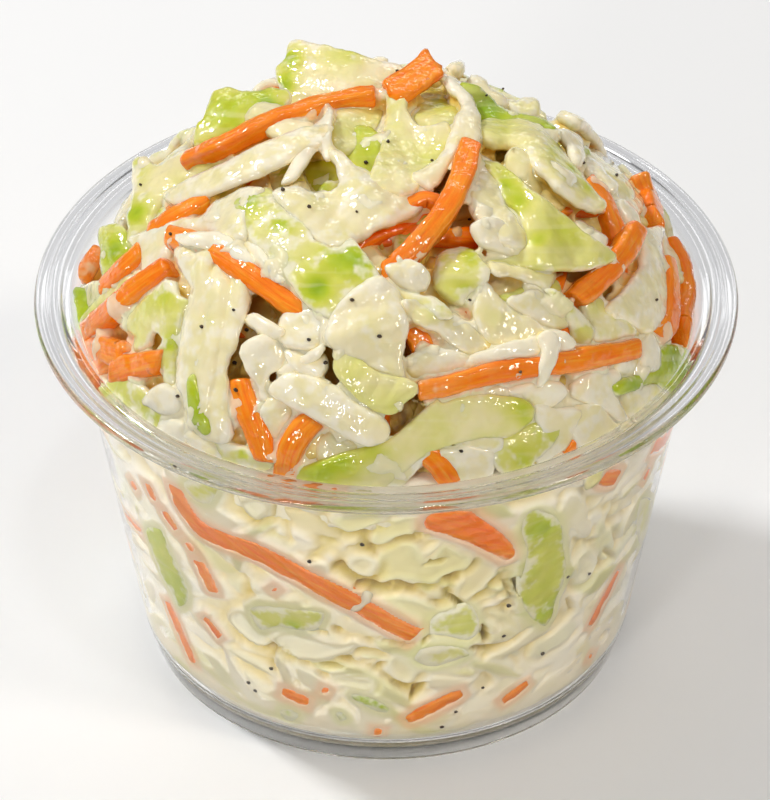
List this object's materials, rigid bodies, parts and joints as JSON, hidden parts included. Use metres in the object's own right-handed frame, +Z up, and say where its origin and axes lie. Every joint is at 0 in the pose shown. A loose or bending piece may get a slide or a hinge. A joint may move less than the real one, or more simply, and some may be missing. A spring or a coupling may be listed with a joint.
{
  "type": "cup of coleslaw",
  "caption": "Creamy coleslaw of cabbage and carrot shreds heaped in a clear tapered portion cup with a flat rim flange.",
  "frame": {"origin": "centre of the foot ring's underside, on the table", "axes": "+Z up along the cup's axis; -Y is the side the picture looks at"},
  "size_m": [0.074, 0.074, 0.0636],
  "materials": {
    "clear_plastic": "clear, polished",
    "dressed_cabbage": "wet, creamy"
  },
  "bodies": {
    "root": {"cup": "clear_plastic", "coleslaw": "dressed_cabbage"}
  },
  "joints": []
}
